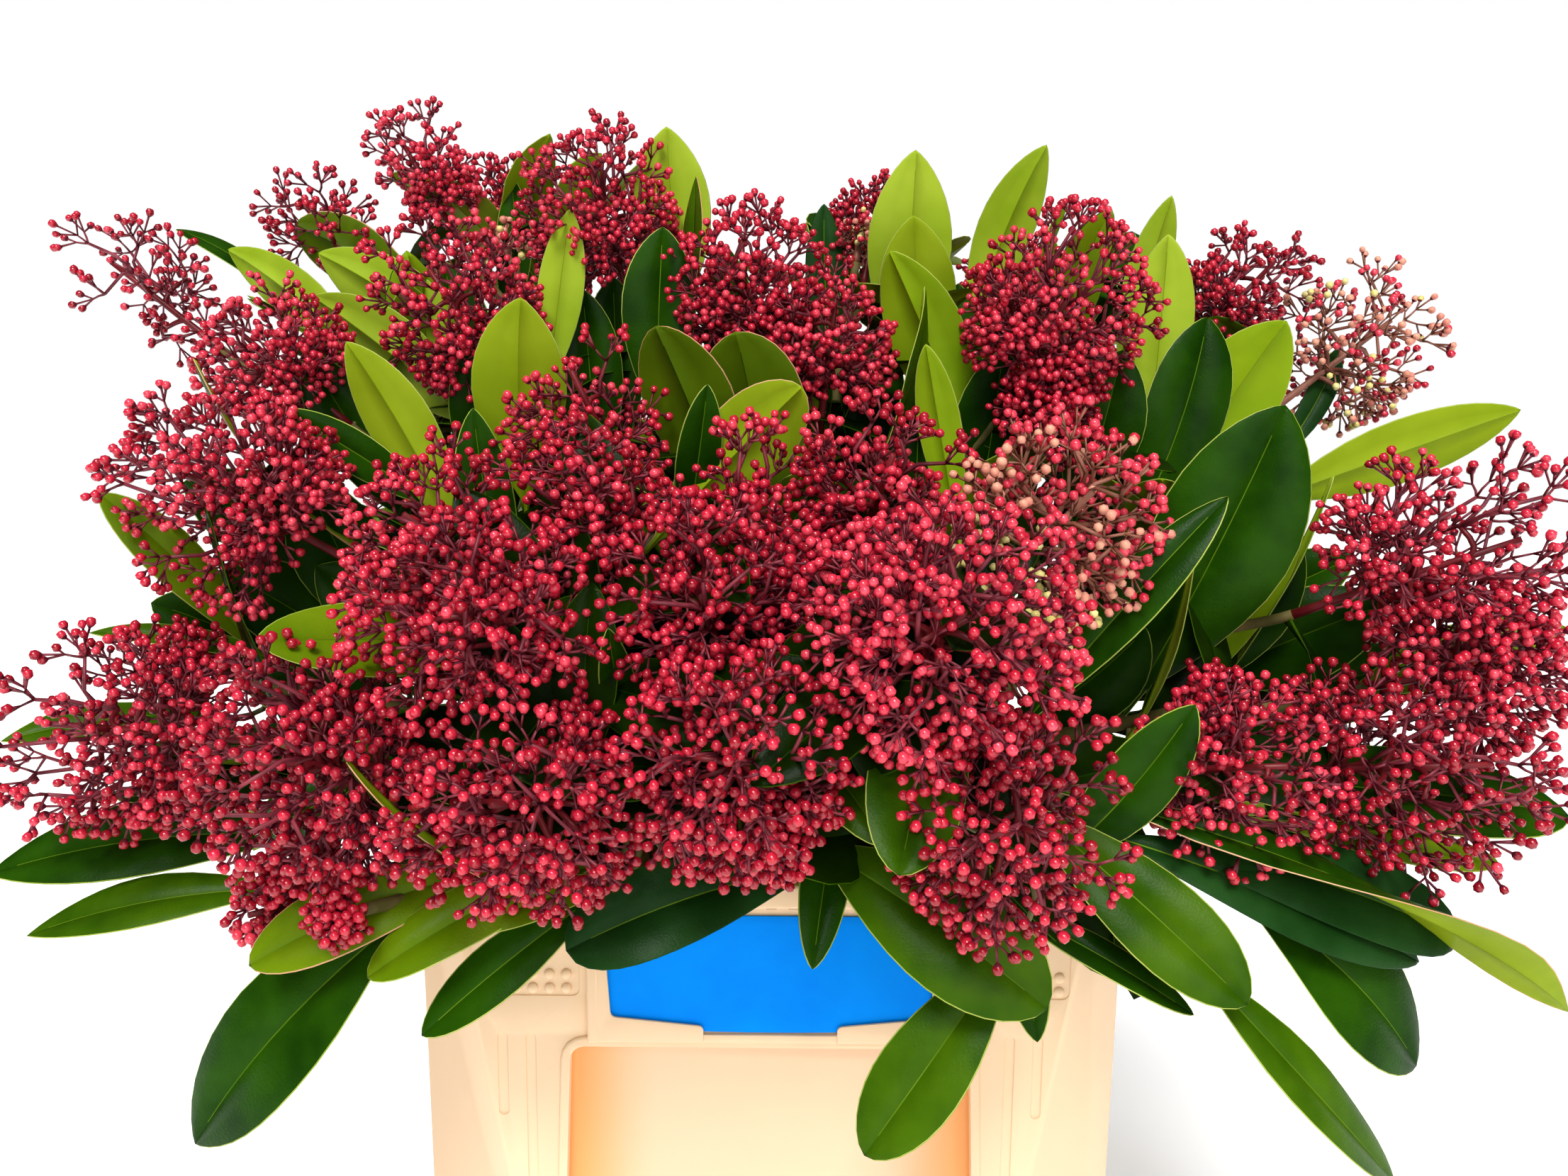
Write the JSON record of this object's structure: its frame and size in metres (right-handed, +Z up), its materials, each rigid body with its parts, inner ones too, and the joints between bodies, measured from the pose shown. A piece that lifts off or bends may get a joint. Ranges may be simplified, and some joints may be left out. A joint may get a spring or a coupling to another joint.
{
  "type": "bunch of cut skimmia flower stems in a plastic flower bucket",
  "caption": "Bunch of cut evergreen stems with domed heads of red flower buds and glossy leaves, standing in a square plastic flower bucket.",
  "frame": {"origin": "middle of the bucket's flat underside", "axes": "+Z up along the bucket, +Y to the back, away from the card on the front wall, +X to the right seen from the front"},
  "size_m": [0.6941, 0.5458, 0.6977],
  "materials": {
    "bucket": "ivory polypropylene, satin",
    "card": "bright blue printed card, blank",
    "bark": "green-brown young bark",
    "blossom": "waxy crimson flower buds on dark red stalks",
    "cream_blossom": "waxy pale pink and cream flower buds",
    "leaf": "glossy evergreen leaves, paler underneath"
  },
  "bodies": {
    "root": {"bucket": "bucket", "card": "card", "stem_1": "bark", "stem_2": "bark", "stem_3": "bark", "stem_4": "bark", "stem_5": "bark", "stem_6": "bark", "stem_7": "bark", "head_front_star": "blossom", "head_front_left": "blossom", "head_front_mid": "blossom", "head_low_centre": "blossom", "head_low_left_centre": "blossom", "head_low_left": "blossom", "head_far_left": "blossom", "head_low_right_centre": "blossom", "head_low_right": "blossom", "head_great_right": "blossom", "head_great_right_low": "blossom", "head_mid_a": "blossom", "head_mid_b": "blossom", "head_mid_c": "blossom", "head_mid_d": "blossom", "head_cream": "cream_blossom", "head_mid_upper": "blossom", "head_left_shoulder": "blossom", "head_left_upper": "blossom", "head_left_dome": "blossom", "head_arm_left": "blossom", "head_tuft_left": "blossom", "head_spire_left": "blossom", "head_spire_mid": "blossom", "head_pair_mid": "blossom", "head_pair_right": "blossom", "head_tall_right": "blossom", "head_dark_right": "blossom", "head_pale_right": "cream_blossom", "head_back_left_high": "blossom", "head_back_mid_high": "blossom", "head_back_right_high": "blossom", "head_back_left": "blossom", "head_back_mid_left": "blossom", "head_back_mid_right": "blossom", "head_back_right": "blossom", "leaves_inner_front": "leaf", "leaves_inner_back": "leaf", "leaves_inner_left": "leaf", "leaves_inner_right": "leaf", "leaves_inner_top": "leaf", "leaves_crest_left": "leaf", "leaves_crest_mid": "leaf", "leaves_crest_right": "leaf", "leaves_flank_right": "leaf", "leaves_skirt_front_left": "leaf", "leaves_skirt_front": "leaf", "leaves_skirt_front_right": "leaf", "leaves_skirt_left": "leaf", "leaves_skirt_right": "leaf", "leaves_skirt_back": "leaf"}
  },
  "joints": []
}
